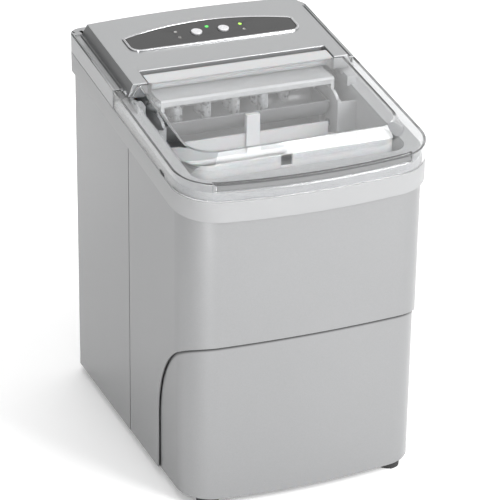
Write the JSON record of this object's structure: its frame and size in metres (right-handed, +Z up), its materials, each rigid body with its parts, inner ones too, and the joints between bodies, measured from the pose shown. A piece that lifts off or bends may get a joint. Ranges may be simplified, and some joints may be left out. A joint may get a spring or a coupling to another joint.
{
  "type": "countertop ice maker",
  "caption": "Countertop ice maker with a clear hinged lid on a sloping top, push button panel, lift-out basket, tank, tilting water tray and freezing group.",
  "frame": {"origin": "on the floor under the middle of the body, at the bottom of the feet", "axes": "+Z up, front face towards -Y, control side at +Y, +X to the right seen from the front"},
  "size_m": [0.222, 0.292, 0.3413],
  "materials": {
    "silver_shell": "satin silver paint on sheet metal",
    "silver_cover": "satin silver moulded plastic",
    "frame_grey": "light grey moulded plastic",
    "clear_lid": "clear, faintly smoky moulded plastic",
    "panel_black": "glossy black lens",
    "bright_ring": "bright plated ring",
    "button_silver": "satin silver button cap",
    "led_green": "green light pipes",
    "board_green": "circuit board",
    "pin_steel": "plain steel",
    "rubber_black": "black rubber",
    "finger_metal": "nickel plated copper",
    "inner_grey": "light grey moulded plastic",
    "basket_white": "milky white moulded plastic",
    "foam_white": "expanded foam",
    "dark_plastic": "dark moulded plastic",
    "hose_clear": "silicone hose",
    "can_black": "black enamel",
    "coil_metal": "aluminium fins on tubes",
    "motor_steel": "zinc plated steel",
    "copper": "bare copper",
    "valve_blue": "blue coil case"
  },
  "bodies": {
    "housing": {"base_tray": "dark_plastic", "feet": "rubber_black", "front_panel": "silver_shell", "lower_front_panel": "silver_shell", "rear_shell": "silver_shell", "top_frame": "frame_grey", "top_cover": "silver_cover", "control_bezel": "bright_ring", "control_window": "panel_black", "control_board": "board_green", "status_leds": "led_green", "hinge_pins": "pin_steel", "lid_bumpers": "rubber_black", "evaporator": "finger_metal", "evaporator_cover": "inner_grey", "left_bracket": "inner_grey", "right_bracket": "inner_grey", "tray_motor": "dark_plastic", "water_tank": "inner_grey", "tank_insulation": "foam_white", "float_stem": "basket_white", "ice_sensors": "dark_plastic", "water_pump": "dark_plastic", "pump_hose": "hose_clear", "drain_spout": "dark_plastic", "compressor": "can_black", "compressor_mounts": "rubber_black", "condenser": "coil_metal", "fan_shroud": "dark_plastic", "fan_motor": "motor_steel", "filter_drier": "copper", "gas_valve": "valve_blue", "refrigerant_pipes": "copper", "power_board": "board_green", "cord_gland": "rubber_black", "cover_screws": "pin_steel"},
    "lid": {"lid": "clear_lid"},
    "power_button": {"power_button": "button_silver"},
    "select_button": {"select_button": "button_silver"},
    "water_tray": {"water_tray": "inner_grey"},
    "ice_shovel": {"ice_shovel": "basket_white"},
    "fan_blade": {"fan_blade": "dark_plastic"},
    "level_float": {"level_float": "basket_white"},
    "ice_basket": {"ice_basket": "basket_white"},
    "drain_cap": {"drain_cap": "rubber_black"}
  },
  "joints": [
    {"name": "lid_hinge", "type": "hinge", "parent": "housing", "child": "lid", "pos_m": [0, 0.029, 0.3214], "axis": [-1, 0, 0], "range_deg": [0, 92]},
    {"name": "power_press", "type": "slide", "parent": "housing", "child": "power_button", "axis": [0, 0.1149, -0.9934], "range_m": [0, 0.0012], "stiffness_N_per_m": 400},
    {"name": "select_press", "type": "slide", "parent": "housing", "child": "select_button", "axis": [0, 0.1149, -0.9934], "range_m": [0, 0.0012], "stiffness_N_per_m": 400},
    {"name": "tray_tilt", "type": "hinge", "parent": "housing", "child": "water_tray", "pos_m": [0, 0.035, 0.295], "axis": [1, 0, 0], "range_deg": [0, 55]},
    {"name": "shovel_sweep", "type": "hinge", "parent": "housing", "child": "ice_shovel", "pos_m": [0, -0.008, 0.264], "axis": [1, 0, 0], "range_deg": [0, 33]},
    {"name": "fan_spin", "type": "hinge", "parent": "housing", "child": "fan_blade", "pos_m": [0.07, 0.088, 0.088], "axis": [1, 0, 0], "continuous": true},
    {"name": "float_rise", "type": "slide", "parent": "housing", "child": "level_float", "axis": [0, 0, 1], "range_m": [0, 0.016]},
    {"name": "basket_lift", "type": "slide", "parent": "housing", "child": "ice_basket", "axis": [0, 0, 1], "range_m": [0, 0.008]},
    {"name": "cap_pull", "type": "slide", "parent": "housing", "child": "drain_cap", "axis": [1, 0, 0], "range_m": [0, 0.012]}
  ],
  "couplings": [
    {"joint": "shovel_sweep", "follows": "tray_tilt", "ratio": 0.6}
  ]
}
